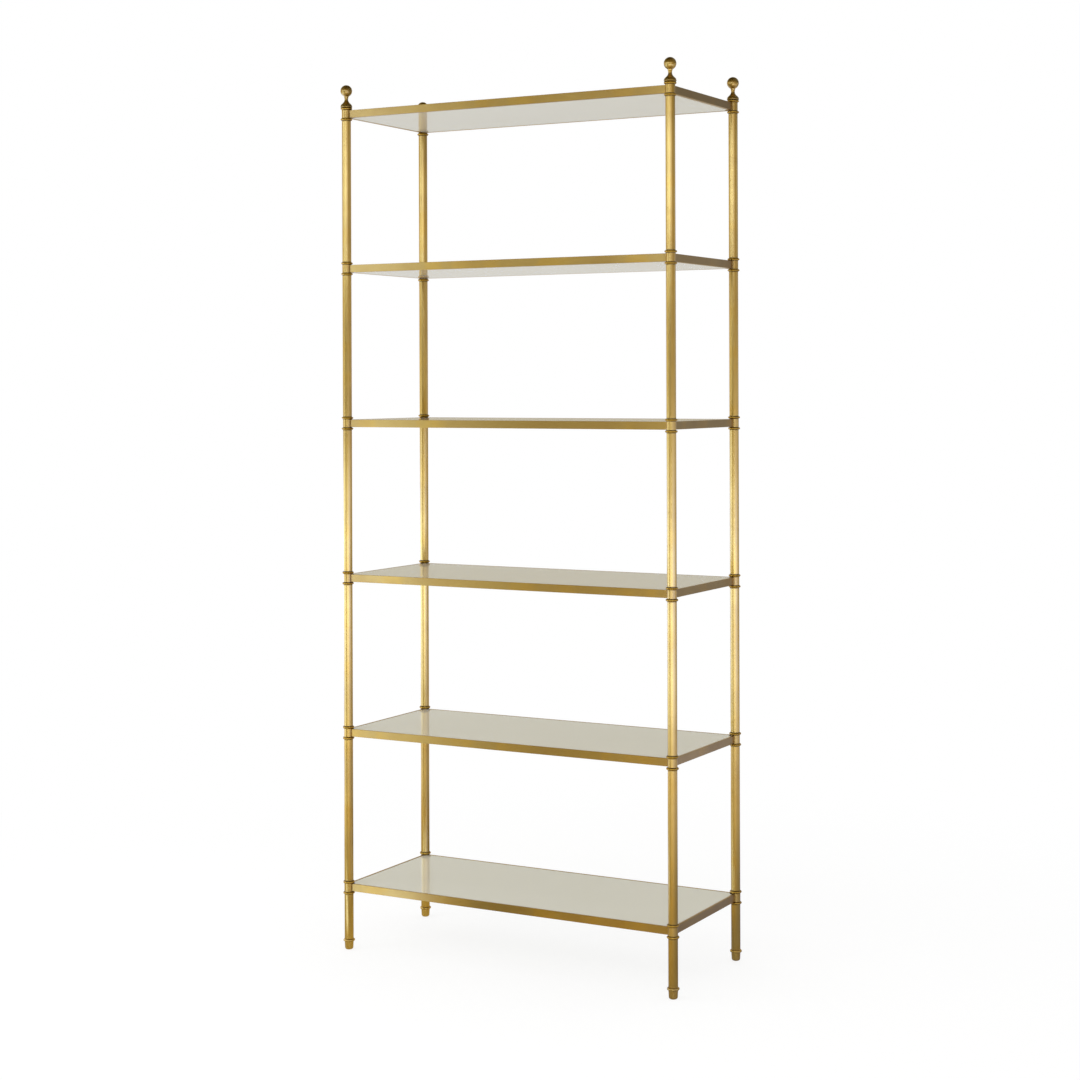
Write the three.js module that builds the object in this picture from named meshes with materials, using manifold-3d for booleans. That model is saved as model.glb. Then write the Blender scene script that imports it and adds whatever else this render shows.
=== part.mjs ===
// A free-standing brass etagere: six framed shelf panels carried by four sectioned corner posts.
// Millimetres, +Z up, front towards -Y. The origin is on the floor, midway between the four posts.
import * as THREE from "three";
import { mergeVertices } from "three/addons/utils/BufferGeometryUtils.js";
import Module from "manifold-3d";

const wasm = await Module();
wasm.setup();

// Whole object
const POST_SPAN_WIDTH = 884.5; // between post centres, left to right
const POST_SPAN_DEPTH = 354; // between post centres, front to back
const SHELF_COUNT = 6;
const SHELF_PITCH = 382; // from one shelf to the next
const LOWEST_SHELF_HEIGHT = 153.25; // middle of the lowest shelf above the floor

// Fits
const FIT_CLEARANCE = 0.3; // radial, round a spigot, a rod or a stud
const SEAT_GAP = 0.05; // between two flat faces that rest on each other
const END_GAP = 2; // beyond the end of a rod or a stud in its bore

// Post tubes
const TUBE_DIAMETER = 22.2;
const TUBE_WALL = 1.5;

// Shelf panel and the angle rail round it
const PANEL_THICKNESS = 15.75; // at the edge, where it rests on the lip
const PANEL_DROP = 0.2; // panel face below the rail's top edge
const PANEL_SIDE_GAP = 0.5; // round the panel's edge
const PANEL_RECESS = 0.1; // panel's underside above the rail's bottom edge
const RAIL_THICKNESS = 5;
const LIP_WIDTH = 4.5; // inner lip that carries the panel
const LIP_THICKNESS = 2.5;
const RAIL_HEIGHT = LIP_THICKNESS + SEAT_GAP + PANEL_THICKNESS + PANEL_DROP;

// Corner hub, with a bead ring above and below it
const HUB_STEP = 0.3; // hub surface proud of the tube
const HUB_MARGIN = 0.85; // hub above and below the rail
const RING_PROJECTION = 3.1; // bead proud of the hub
const RING_HEIGHT = 5.8;
const SPIGOT_LENGTH = 10; // stub that locates a tube

// Tie rod and levelling stud, both of one thread
const ROD_DIAMETER = 8;
const ROD_ENGAGEMENT = 16; // rod held in the foot collar
const FOOT_TRAVEL = 10; // how far a foot screws out
const STUD_ENGAGEMENT = 8; // stud still held at full travel

// Levelling foot
const FOOT_CUP_HEIGHT = 20.3;
const FOOT_CUP_TAPER = 0.8; // radius lost from the cup's top to its rounded edge
const FOOT_EDGE_RADIUS = 5;

// Finial
const FINIAL_BASE_HEIGHT = 5;
const FINIAL_BASE_OVERHANG = 0.2; // base bead proud of the ring below it
const BELL_STEP = 0.8; // bell behind the base bead
const BELL_HEIGHT = 15.8;
const BELL_LOWER_HANDLE_SHARE = 0.25; // handles of the bell's curve, as shares of its height
const BELL_UPPER_HANDLE_SHARE = 0.43;
const NECK_DIAMETER = 8.8;
const NECK_FLARE_DIAMETER = 12.4; // where the neck has spread to meet the ball
const NECK_LENGTH = 7.7;
const BALL_DIAMETER = 28.8;
const FINIAL_BORE_DEPTH = 12;

// Facets
const ROUND_SEGMENTS = 16;
const BEAD_STEPS = 3;
const BELL_STEPS = 4;
const BALL_STEPS = 6;
const FOOT_EDGE_STEPS = 3;
const NOTCH_STEPS = 4;

// Radii and places that follow
const TUBE_RADIUS = TUBE_DIAMETER / 2;
const TUBE_BORE_RADIUS = TUBE_RADIUS - TUBE_WALL;
const SPIGOT_RADIUS = TUBE_BORE_RADIUS - FIT_CLEARANCE;
const HUB_RADIUS = TUBE_RADIUS + HUB_STEP;
const RING_RADIUS = HUB_RADIUS + RING_PROJECTION;
const ROD_RADIUS = ROD_DIAMETER / 2;
const BORE_RADIUS = ROD_RADIUS + FIT_CLEARANCE;
const HUB_HALF = RAIL_HEIGHT / 2 + HUB_MARGIN;
const SHOULDER = HUB_HALF + RING_HEIGHT; // from a shelf's middle to the face that a tube stands on
const STUD_LENGTH = FOOT_TRAVEL + STUD_ENGAGEMENT;
const COLLAR_BOTTOM = FOOT_CUP_HEIGHT + SEAT_GAP;
const COLLAR_SHOULDER = COLLAR_BOTTOM + RING_HEIGHT;
const ROD_BOTTOM = FOOT_CUP_HEIGHT + STUD_LENGTH + END_GAP;
const FINIAL_BOTTOM = shelfHeight(SHELF_COUNT) + SHOULDER + SEAT_GAP;
const ROD_TOP = FINIAL_BOTTOM + FINIAL_BORE_DEPTH - END_GAP;

const CORNERS = [
  { name: "front_left", x: -POST_SPAN_WIDTH / 2, y: -POST_SPAN_DEPTH / 2 },
  { name: "front_right", x: POST_SPAN_WIDTH / 2, y: -POST_SPAN_DEPTH / 2 },
  { name: "back_left", x: -POST_SPAN_WIDTH / 2, y: POST_SPAN_DEPTH / 2 },
  { name: "back_right", x: POST_SPAN_WIDTH / 2, y: POST_SPAN_DEPTH / 2 },
];

function shelfHeight(shelf) {
  return LOWEST_SHELF_HEIGHT + (shelf - 1) * SHELF_PITCH;
}

// Materials

function brass() {
  return new THREE.MeshStandardMaterial({ color: 0xb8964e, roughness: 0.32, metalness: 1 });
}

function darkBrass() {
  return new THREE.MeshStandardMaterial({ color: 0xa58343, roughness: 0.36, metalness: 1 });
}

function lacquer() {
  return new THREE.MeshStandardMaterial({ color: 0xe4e1d4, roughness: 0.16, metalness: 0 });
}

function steel() {
  return new THREE.MeshStandardMaterial({ color: 0x8d9094, roughness: 0.4, metalness: 1 });
}

// Shape helpers

// Turns a profile of [radius, height] points round the vertical axis.
function turned(profile) {
  const points = profile.map(([radius, height]) => new THREE.Vector2(radius, height));
  return new THREE.LatheGeometry(points, ROUND_SEGMENTS).rotateX(Math.PI / 2);
}

// A half-round bead's profile, upwards from bottom, drawn out so that its widest facet reaches the crest.
function bead(base, crest, bottom, height) {
  const angles = Array.from({ length: BEAD_STEPS + 1 }, (_, i) => (i / BEAD_STEPS - 0.5) * Math.PI);
  const widest = Math.max(...angles.map(Math.cos));
  return angles.map((angle) => [
    base + ((crest - base) * Math.cos(angle)) / widest,
    bottom + (height * (1 + Math.sin(angle))) / 2,
  ]);
}

function solidOf(geometry) {
  const bare = geometry.clone();
  bare.deleteAttribute("normal");
  bare.deleteAttribute("uv");
  const merged = mergeVertices(bare);
  return new wasm.Manifold(
    new wasm.Mesh({
      numProp: 3,
      vertProperties: merged.attributes.position.array,
      triVerts: new Uint32Array(merged.index.array),
    }),
  );
}

function geometryOf(solid) {
  const mesh = solid.getMesh();
  const geometry = new THREE.BufferGeometry();
  geometry.setAttribute("position", new THREE.BufferAttribute(mesh.vertProperties, 3));
  geometry.setIndex(new THREE.BufferAttribute(mesh.triVerts, 1));
  geometry.computeVertexNormals();
  return geometry;
}

// Shelf frame

// An angle bar along X, its upright centred on y = 0 and its lip reaching towards +Y at the bottom.
function angleBar(length) {
  const outer = -RAIL_THICKNESS / 2;
  const inner = RAIL_THICKNESS / 2;
  const bottom = -RAIL_HEIGHT / 2;
  const top = RAIL_HEIGHT / 2;
  const section = new THREE.Shape();
  section.moveTo(outer, bottom);
  section.lineTo(inner + LIP_WIDTH, bottom);
  section.lineTo(inner + LIP_WIDTH, bottom + LIP_THICKNESS);
  section.lineTo(inner, bottom + LIP_THICKNESS);
  section.lineTo(inner, top);
  section.lineTo(outer, top);
  section.closePath();
  const bar = new THREE.ExtrudeGeometry(section, { depth: length, bevelEnabled: false });
  return bar.translate(0, 0, -length / 2).rotateX(Math.PI / 2).rotateZ(Math.PI / 2);
}

// A hub with its two rings, a spigot below it and, except at the top of a post, one above it.
function hub(hasUpperSpigot) {
  const profile = [
    [0, -SHOULDER - SPIGOT_LENGTH],
    [SPIGOT_RADIUS, -SHOULDER - SPIGOT_LENGTH],
    [SPIGOT_RADIUS, -SHOULDER],
    ...bead(HUB_RADIUS, RING_RADIUS, -SHOULDER, RING_HEIGHT),
    ...bead(HUB_RADIUS, RING_RADIUS, HUB_HALF, RING_HEIGHT),
  ];
  if (hasUpperSpigot) {
    profile.push([SPIGOT_RADIUS, SHOULDER]);
    profile.push([SPIGOT_RADIUS, SHOULDER + SPIGOT_LENGTH]);
    profile.push([0, SHOULDER + SPIGOT_LENGTH]);
  } else {
    profile.push([0, SHOULDER]);
  }
  return turned(profile);
}

// A cutter for the rod's passage through a hub, longer than the hub by a spigot at each end.
function rodPassage() {
  const reach = SHOULDER + 2 * SPIGOT_LENGTH;
  return turned([
    [0, -reach],
    [BORE_RADIUS, -reach],
    [BORE_RADIUS, reach],
    [0, reach],
  ]);
}

function shelfFrame(isTop) {
  const bars = [
    angleBar(POST_SPAN_WIDTH).translate(0, -POST_SPAN_DEPTH / 2, 0),
    angleBar(POST_SPAN_WIDTH).rotateZ(Math.PI).translate(0, POST_SPAN_DEPTH / 2, 0),
    angleBar(POST_SPAN_DEPTH).rotateZ(-Math.PI / 2).translate(-POST_SPAN_WIDTH / 2, 0, 0),
    angleBar(POST_SPAN_DEPTH).rotateZ(Math.PI / 2).translate(POST_SPAN_WIDTH / 2, 0, 0),
  ];
  let frame = bars.map(solidOf).reduce((joined, bar) => joined.add(bar));
  for (const { x, y } of CORNERS) {
    frame = frame.add(solidOf(hub(!isTop).translate(x, y, 0)));
    frame = frame.subtract(solidOf(rodPassage().translate(x, y, 0)));
  }
  return geometryOf(frame);
}

// The plan of a board with a round notch at each corner, held back from the rails by an inset.
function boardPlan(inset) {
  const edge = RAIL_THICKNESS / 2 + inset; // from a post's centre line to the board's edge
  const notch = RING_RADIUS + inset;
  const start = Math.asin(edge / notch);
  const sweep = Math.PI / 2 - 2 * start;
  const outline = [];
  // Round the corners anticlockwise, starting front left, each notch passed clockwise.
  const turns = [CORNERS[0], CORNERS[1], CORNERS[3], CORNERS[2]];
  turns.forEach(({ x, y }, corner) => {
    for (let i = 0; i <= NOTCH_STEPS; i++) {
      const angle = (corner + 1) * (Math.PI / 2) - start - (sweep * i) / NOTCH_STEPS;
      outline.push(new THREE.Vector2(x + notch * Math.cos(angle), y + notch * Math.sin(angle)));
    }
  });
  return new THREE.Shape(outline);
}

function board(inset, bottom, top) {
  const extrusion = { depth: top - bottom, bevelEnabled: false };
  return new THREE.ExtrudeGeometry(boardPlan(inset), extrusion).translate(0, 0, bottom);
}

// A board that drops into its frame past the rings, rebated below so that its underside fills in
// between the lips.
function shelfPanel() {
  const bottom = -RAIL_HEIGHT / 2 + PANEL_RECESS;
  const seat = -RAIL_HEIGHT / 2 + LIP_THICKNESS + SEAT_GAP;
  const top = seat + PANEL_THICKNESS;
  const edge = board(PANEL_SIDE_GAP, seat, top);
  const field = board(PANEL_SIDE_GAP + LIP_WIDTH, bottom, (seat + top) / 2);
  return geometryOf(solidOf(edge).add(solidOf(field)));
}

// Posts

// A tube that stands on z = 0.
function tube(length) {
  return turned([
    [TUBE_BORE_RADIUS, 0],
    [TUBE_RADIUS, 0],
    [TUBE_RADIUS, length],
    [TUBE_BORE_RADIUS, length],
    [TUBE_BORE_RADIUS, 0],
  ]);
}

function tieRod() {
  return turned([
    [0, ROD_BOTTOM],
    [ROD_RADIUS, ROD_BOTTOM],
    [ROD_RADIUS, ROD_TOP],
    [0, ROD_TOP],
  ]);
}

// The bead ring at the foot of a leg, with the threaded plug that fills the leg above it.
function footCollar() {
  const top = ROD_BOTTOM + ROD_ENGAGEMENT;
  return turned([
    [BORE_RADIUS, COLLAR_BOTTOM],
    ...bead(HUB_RADIUS, RING_RADIUS, COLLAR_BOTTOM, RING_HEIGHT),
    [SPIGOT_RADIUS, COLLAR_SHOULDER],
    [SPIGOT_RADIUS, top],
    [BORE_RADIUS, top],
    [BORE_RADIUS, COLLAR_BOTTOM],
  ]);
}

// A cup with a flat sole and a rounded lower edge, and the stud that screws into the collar.
function levellingFoot() {
  const edge = [];
  const edgeCentre = TUBE_RADIUS - FOOT_CUP_TAPER - FOOT_EDGE_RADIUS;
  for (let i = 0; i <= FOOT_EDGE_STEPS; i++) {
    const angle = (i / FOOT_EDGE_STEPS) * (Math.PI / 2);
    const radius = edgeCentre + FOOT_EDGE_RADIUS * Math.sin(angle);
    edge.push([radius, FOOT_EDGE_RADIUS * (1 - Math.cos(angle))]);
  }
  return turned([
    [0, 0],
    ...edge,
    [TUBE_RADIUS, FOOT_CUP_HEIGHT],
    [ROD_RADIUS, FOOT_CUP_HEIGHT],
    [ROD_RADIUS, FOOT_CUP_HEIGHT + STUD_LENGTH],
    [0, FOOT_CUP_HEIGHT + STUD_LENGTH],
  ]);
}

// The bell's profile above the base bead, drawn in to the neck by one smooth double curve.
function bell(bellRadius, neckRadius, bottom) {
  const lower = bottom + BELL_HEIGHT * BELL_LOWER_HANDLE_SHARE;
  const upper = bottom + BELL_HEIGHT * BELL_UPPER_HANDLE_SHARE;
  const curve = new THREE.CubicBezierCurve(
    new THREE.Vector2(bellRadius, bottom),
    new THREE.Vector2(bellRadius, lower),
    new THREE.Vector2(neckRadius, upper),
    new THREE.Vector2(neckRadius, bottom + BELL_HEIGHT),
  );
  return curve.getPoints(BELL_STEPS).map(({ x, y }) => [x, y]);
}

// The ball's profile, from where the neck's flare meets it to its top on the axis.
function ball(neckTop) {
  const radius = BALL_DIAMETER / 2;
  const start = Math.asin(NECK_FLARE_DIAMETER / BALL_DIAMETER);
  const centre = neckTop + radius * Math.cos(start);
  const points = [];
  for (let i = 0; i < BALL_STEPS; i++) {
    const angle = start + ((Math.PI - start) * i) / BALL_STEPS;
    points.push([radius * Math.sin(angle), centre - radius * Math.cos(angle)]);
  }
  points.push([0, centre + radius]);
  return points;
}

// Base bead, bell, neck and ball turned in one, bored from below for the tie rod.
function finial() {
  const baseCrest = RING_RADIUS + FINIAL_BASE_OVERHANG;
  const bellRadius = baseCrest - BELL_STEP;
  const neckRadius = NECK_DIAMETER / 2;
  const bellTop = FINIAL_BASE_HEIGHT + BELL_HEIGHT;
  return turned([
    [0, FINIAL_BORE_DEPTH],
    [BORE_RADIUS, FINIAL_BORE_DEPTH],
    [BORE_RADIUS, 0],
    ...bead(HUB_RADIUS, baseCrest, 0, FINIAL_BASE_HEIGHT),
    ...bell(bellRadius, neckRadius, FINIAL_BASE_HEIGHT),
    ...ball(bellTop + NECK_LENGTH),
  ]);
}

// Assembly

const etagere = new THREE.Group();
etagere.name = "etagere";

function place(parent, name, geometry, material, height) {
  const mesh = new THREE.Mesh(geometry, material);
  mesh.name = name;
  mesh.position.z = height;
  parent.add(mesh);
}

function addShelves() {
  const frame = shelfFrame(false);
  const topFrame = shelfFrame(true);
  const panel = shelfPanel();
  const railBrass = darkBrass();
  const panelLacquer = lacquer();
  for (let shelf = 1; shelf <= SHELF_COUNT; shelf++) {
    const height = shelfHeight(shelf);
    const shape = shelf === SHELF_COUNT ? topFrame : frame;
    place(etagere, `shelf_frame_${shelf}`, shape, railBrass, height);
    place(etagere, `shelf_panel_${shelf}`, panel, panelLacquer, height);
  }
}

function addPost({ name, x, y }) {
  const post = new THREE.Group();
  post.position.set(x, y, 0);
  etagere.add(post);
  const postBrass = brass();
  const seat = SHOULDER + SEAT_GAP;
  const legBottom = COLLAR_SHOULDER + SEAT_GAP;
  const leg = tube(shelfHeight(1) - seat - legBottom);
  const section = tube(SHELF_PITCH - 2 * seat);
  place(post, `levelling_foot_${name}`, levellingFoot(), postBrass, 0);
  place(post, `foot_collar_${name}`, footCollar(), postBrass, 0);
  place(post, `leg_tube_${name}`, leg, postBrass, legBottom);
  for (let shelf = 1; shelf < SHELF_COUNT; shelf++) {
    place(post, `post_tube_${shelf}_${name}`, section, postBrass, shelfHeight(shelf) + seat);
  }
  place(post, `tie_rod_${name}`, tieRod(), steel(), 0);
  place(post, `finial_${name}`, finial(), postBrass, FINIAL_BOTTOM);
}

addShelves();
CORNERS.forEach(addPost);

export default etagere;
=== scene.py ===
# Brass etagere: the fine shapes and finishes of every piece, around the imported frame.
# Metres, +Z up, front towards -Y. Profiles are written in millimetres and scaled when they are turned.
import math

import bmesh
import bpy
from mathutils import Matrix, Vector


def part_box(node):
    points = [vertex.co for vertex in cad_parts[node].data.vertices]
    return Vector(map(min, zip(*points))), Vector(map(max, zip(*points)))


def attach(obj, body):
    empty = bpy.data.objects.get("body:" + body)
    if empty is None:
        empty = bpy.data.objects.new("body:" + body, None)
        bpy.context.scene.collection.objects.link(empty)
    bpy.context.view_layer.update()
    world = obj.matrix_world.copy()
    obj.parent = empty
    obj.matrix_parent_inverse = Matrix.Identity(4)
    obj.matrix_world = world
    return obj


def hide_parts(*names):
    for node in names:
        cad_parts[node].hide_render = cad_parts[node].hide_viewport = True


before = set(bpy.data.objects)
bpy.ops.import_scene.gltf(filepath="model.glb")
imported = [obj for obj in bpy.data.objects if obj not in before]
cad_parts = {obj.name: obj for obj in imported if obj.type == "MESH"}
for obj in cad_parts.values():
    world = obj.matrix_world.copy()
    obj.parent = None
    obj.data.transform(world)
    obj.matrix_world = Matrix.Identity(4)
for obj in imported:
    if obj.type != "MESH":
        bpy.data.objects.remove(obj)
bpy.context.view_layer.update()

MM = 0.001
TINY = 1e-6

# Places taken from the frame
CORNERS = ("front_left", "front_right", "back_left", "back_right")
SHELF_COUNT = sum(name.startswith("shelf_frame_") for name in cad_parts)


def middle(node):
    low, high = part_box(node)
    return (low + high) / 2


def underside(node):
    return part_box(node)[0].z


POST_X = middle("leg_tube_front_right").x
POST_Y = middle("leg_tube_back_right").y
LOWEST_SHELF = middle("shelf_frame_1").z
SHELF_PITCH = middle("shelf_frame_2").z - LOWEST_SHELF

# Posts, in millimetres
TUBE_RADIUS = 11.1
TUBE_BORE = 9.6
TUBE_END_ROUND = 0.35
ROD_BORE = 4.3

# Hubs and their bead rings
HUB_RADIUS = 11.4
HUB_HALF = 10.1
RING_RADIUS = 14.5
RING_HEIGHT = 5.8
GROOVE_WIDTH = 0.5
GROOVE_DEPTH = 0.5
SPIGOT_RADIUS = 9.3
SPIGOT_LENGTH = 10.0
SPIGOT_CHAMFER = 0.8
SHOULDER = HUB_HALF + RING_HEIGHT

# Rails
RAIL_THICKNESS = 5.0
RAIL_HEIGHT = 18.5
LIP_WIDTH = 4.5
LIP_THICKNESS = 2.5
RAIL_ROUND = 0.45
RAIL_ROOT = 7.0  # from the post's centre line to the hidden end of a rail
BRAZE_RADIUS = 0.8
BRAZE_STATIONS = (0.0, 0.08, 0.22, 0.45, 0.8)  # distances from the hub

# Panels
PANEL_GAP = 0.5  # round the board, to the rails and the rings
PANEL_THICKNESS = 15.75  # at the edge, where it rests on the lip
PANEL_ROUND = 0.8

# Feet
COLLAR_BOTTOM = 20.35
COLLAR_PLUG_TOP = 56.3
CUP_HEIGHT = 20.3
CUP_TOP_ROUND = 0.5
CUP_EDGE_CENTRE = 5.3
CUP_EDGE_RADIUS = 5.0
STUD_LENGTH = 18.0
STUD_SINK = 0.6
THREAD_RADIUS = 4.0
THREAD_ROOT = 3.35
THREAD_PITCH = 1.25
SPARE_TEETH = 2  # made below the cup's top, and trimmed off

# Finials
FINIAL_BORE_DEPTH = 12.0
FINIAL_BASE_HEIGHT = 5.0
FINIAL_BASE_RADIUS = 14.7
BELL_RADIUS = 13.9
BELL_HEIGHT = 15.8
BELL_HANDLE_SHARES = (0.25, 0.43)
NECK_RADIUS = 4.4
NECK_LENGTH = 7.7
NECK_FLARE_RADIUS = 6.2  # where the neck has spread to meet the ball
NECK_FLARE_POWER = 1.7
BALL_RADIUS = 14.4

# Fineness
ROUND_SEGMENTS = 72
ARC_STEPS = 12
SMALL_ARC_STEPS = 4
GROOVE_STEPS = 6
NOTCH_STEPS = 16
RAIL_ROUND_SEGMENTS = 4
PANEL_ROUND_SEGMENTS = 3
BELL_STEPS = 22
NECK_STEPS = 8
BALL_STEPS = 30
THREAD_SEGMENTS = 32
SMOOTH_ANGLE = math.radians(42)


# Mesh helpers


def arc(centre, radii, start, end, steps=ARC_STEPS):
    """Points on an elliptic arc of a profile, from start to end degrees: 0 is outwards, 90 upwards."""
    points = []
    for step in range(steps + 1):
        angle = math.radians(start + (end - start) * step / steps)
        points.append((centre[0] + radii[0] * math.cos(angle), centre[1] + radii[1] * math.sin(angle)))
    return points


def chain(mesh, profile, closed=False):
    """A chain of edges through a profile's points, in the plane that holds the axis."""
    verts = [mesh.verts.new((radius * MM, 0, height * MM)) for radius, height in profile]
    edges = [mesh.edges.new(pair) for pair in zip(verts, verts[1:])]
    if closed:
        edges.append(mesh.edges.new((verts[-1], verts[0])))
    return verts + edges


def tidied(mesh):
    bmesh.ops.remove_doubles(mesh, verts=mesh.verts, dist=TINY)
    bmesh.ops.dissolve_degenerate(mesh, edges=mesh.edges, dist=TINY)
    bmesh.ops.recalc_face_normals(mesh, faces=mesh.faces)
    return mesh


def spun(profile, steps, closed=False, **options):
    """A profile's chain of edges, spun one full turn round the vertical axis."""
    mesh = bmesh.new()
    bmesh.ops.spin(
        mesh,
        geom=chain(mesh, profile, closed),
        cent=(0, 0, 0),
        axis=(0, 0, 1),
        angle=2 * math.pi,
        steps=steps,
        **options,
    )
    return mesh


def turned(profile, closed=False):
    """A solid turned from a profile."""
    return tidied(spun(profile, ROUND_SEGMENTS, closed, use_merge=True))


def moved(mesh, offset):
    bmesh.ops.translate(mesh, verts=mesh.verts, vec=offset)
    return mesh


def rotated(mesh, degrees):
    turn = Matrix.Rotation(math.radians(degrees), 3, "Z")
    bmesh.ops.rotate(mesh, verts=mesh.verts, cent=(0, 0, 0), matrix=turn)
    return mesh


def as_object(mesh, name, finishes):
    data = bpy.data.meshes.new(name)
    mesh.to_mesh(data)
    mesh.free()
    for finish in finishes:
        data.materials.append(finish)
    thing = bpy.data.objects.new(name, data)
    bpy.context.scene.collection.objects.link(thing)
    return thing


def united(parts, finishes):
    """One closed mesh from overlapping ones. Each part is a mesh and the index of its finish."""
    things = []
    for index, (mesh, finish_index) in enumerate(parts):
        for face in mesh.faces:
            face.material_index = finish_index
        things.append(as_object(mesh, f"part_{index}", finishes))
    base = things[0]
    for other in things[1:]:
        union = base.modifiers.new("union", "BOOLEAN")
        union.operation = "UNION"
        union.solver = "MANIFOLD"
        union.object = other
    seen = base.evaluated_get(bpy.context.evaluated_depsgraph_get())
    joined = bmesh.new()
    joined.from_mesh(seen.to_mesh())
    seen.to_mesh_clear()
    for thing in things:
        data = thing.data
        bpy.data.objects.remove(thing)
        bpy.data.meshes.remove(data)
    return joined


def add_piece(mesh, name, finishes, body, nodes):
    """Puts a finished mesh in the scene in place of its CAD nodes."""
    piece = as_object(mesh, name, finishes)
    piece.data.shade_smooth()
    piece.data.set_sharp_from_angle(angle=SMOOTH_ANGLE)
    shading = piece.modifiers.new("even_shading", "WEIGHTED_NORMAL")
    shading.keep_sharp = True
    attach(piece, body)
    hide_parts(*nodes)
    return piece


# Finishes


class Wire:
    """An output in a finish's node tree, with arithmetic that adds Math nodes."""

    def __init__(self, finish, socket):
        self.finish = finish
        self.socket = socket

    def __add__(self, other):
        return self.finish.maths("ADD", self, other)

    def __radd__(self, other):
        return self.finish.maths("ADD", other, self)

    def __sub__(self, other):
        return self.finish.maths("SUBTRACT", self, other)

    def __rsub__(self, other):
        return self.finish.maths("SUBTRACT", other, self)

    def __mul__(self, other):
        return self.finish.maths("MULTIPLY", self, other)

    def __rmul__(self, other):
        return self.finish.maths("MULTIPLY", other, self)

    def __truediv__(self, other):
        return self.finish.maths("DIVIDE", self, other)

    def __abs__(self):
        return self.finish.maths("ABSOLUTE", self)


class Nodes:
    """A node tree, filled by expressions."""

    def __init__(self, tree):
        self.tree = tree
        tree.nodes.clear()

    def node(self, kind, settings=None, sockets=None, output=None):
        """Adds a node, sets it up, fills its sockets, and gives one of its outputs."""
        node = self.tree.nodes.new(kind)
        for key, value in (settings or {}).items():
            setattr(node, key, value)
        by_identifier = {socket.identifier: socket for socket in node.inputs}
        for key, value in (sockets or {}).items():
            if isinstance(value, Wire):
                self.tree.links.new(value.socket, by_identifier[key])
            else:
                by_identifier[key].default_value = value
        if output is None:
            return Wire(self, next((socket for socket in node.outputs if socket.enabled), None))
        return Wire(self, next(socket for socket in node.outputs if socket.identifier == output))

    def maths(self, operation, *terms):
        names = ("Value", "Value_001", "Value_002")
        return self.node("ShaderNodeMath", {"operation": operation}, dict(zip(names, terms)))

    def step(self, value, low, high):
        """Rises smoothly from 0 at low to 1 at high."""
        sockets = {"Value": value, "From Min": low, "From Max": high}
        return self.node(
            "ShaderNodeMapRange", {"interpolation_type": "SMOOTHSTEP"}, sockets, output="Result"
        )

    def fall(self, value, start, end):
        """Falls smoothly from 1 at start to 0 at end."""
        return 1 - self.step(value, start, end)

    def most(self, *values):
        """The greatest of some values."""
        greatest, *others = values
        for value in others:
            greatest = self.maths("MAXIMUM", greatest, value)
        return greatest

    def blend(self, share, first, second, way="MIX"):
        """A colour between two others, or one that multiplies the other."""
        return self.node(
            "ShaderNodeMix",
            {"data_type": "RGBA", "blend_type": way},
            {"Factor_Float": share, "A_Color": first, "B_Color": second},
            output="Result_Color",
        )

    def mixed(self, share, first, second):
        """A shader between two others."""
        return self.node("ShaderNodeMixShader", {}, {"Fac": share, "Shader": first, "Shader_001": second})

    def seen_directly(self):
        """1 for camera, glossy and transmission rays."""
        names = ("Is Camera Ray", "Is Glossy Ray", "Is Transmission Ray")
        return self.most(*(self.node("ShaderNodeLightPath", output=name) for name in names))


class Finish(Nodes):
    """One procedural material on Object coordinates."""

    def __init__(self, name):
        self.material = bpy.data.materials.new(name)
        self.material.use_nodes = True
        super().__init__(self.material.node_tree)
        self.place = self.node("ShaderNodeTexCoord", output="Object")

    def axes(self):
        sockets = {"Vector": self.place}
        return [self.node("ShaderNodeSeparateXYZ", {}, sockets, output=axis) for axis in "XYZ"]

    def noise(self, scale, detail=2.0, roughness=0.5, offset=(0, 0, 0)):
        """Noise from 0 to 1. Scale is features per metre along each axis."""
        sockets = {"Vector": self.place, "Location": offset, "Scale": scale}
        spread = self.node("ShaderNodeMapping", {}, sockets, output="Vector")
        sockets = {"Vector": spread, "Scale": 1.0, "Detail": detail, "Roughness": roughness}
        return self.node("ShaderNodeTexNoise", {}, sockets, output="Fac")

    def bump(self, height, depth, under=None):
        sockets = {"Height": height, "Distance": depth, "Strength": 1.0}
        if under is not None:
            sockets["Normal"] = under
        return self.node("ShaderNodeBump", {}, sockets, output="Normal")

    def show(self, shader):
        self.node("ShaderNodeOutputMaterial", {}, {"Surface": shader})
        return self.material

    def surface(self, sockets):
        return self.show(self.node("ShaderNodeBsdfPrincipled", {}, sockets, output="BSDF"))


def every_way(features):
    """The same scale of noise along each axis."""
    return (features, features, features)


def mm(*lengths):
    """Lengths in millimetres, as metres."""
    return [length * MM for length in lengths]


# Brass
POLISHED_BRASS = (0.49, 0.305, 0.062, 1)
WARM_BRASS = (0.46, 0.28, 0.056, 1)
RAIL_BRASS = (0.39, 0.235, 0.046, 1)
FINIAL_BRASS = (0.36, 0.225, 0.045, 1)
BROWN_TARNISH = (0.30, 0.165, 0.030, 1)
AMBER_TARNISH = (0.52, 0.275, 0.022, 1)
# ring colour: tarnish, partly painted shade for the rings' darker look
RING_TARNISH_AND_SHADE = (0.37, 0.185, 0.004, 1)
# colour of the foot's dark seam line and of the painted shade in grooves, at seats and beside rails
DIRT_AND_SHADE = (0.085, 0.050, 0.008, 1)
SMOOTH_BRASS = 0.287  # roughness of the turned and drawn pieces
WORN_BRASS = 0.32  # and of the rails

# Patterns on the brass, in features per metre
GRAIN_FINE = 1700.0  # grain lines across the grain
GRAIN_LONG = 14.0  # along it on drawn pieces
GRAIN_ROUND = 40.0  # and round turned pieces
CLOUD_FEATURES = 9.0
MOTTLE_FEATURES = 75.0
AMBER_FEATURES = 13.0
AMBER_OFFSET = (0.3, 0.7, 0.1)  # so that the amber patches and the clouds differ

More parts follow.
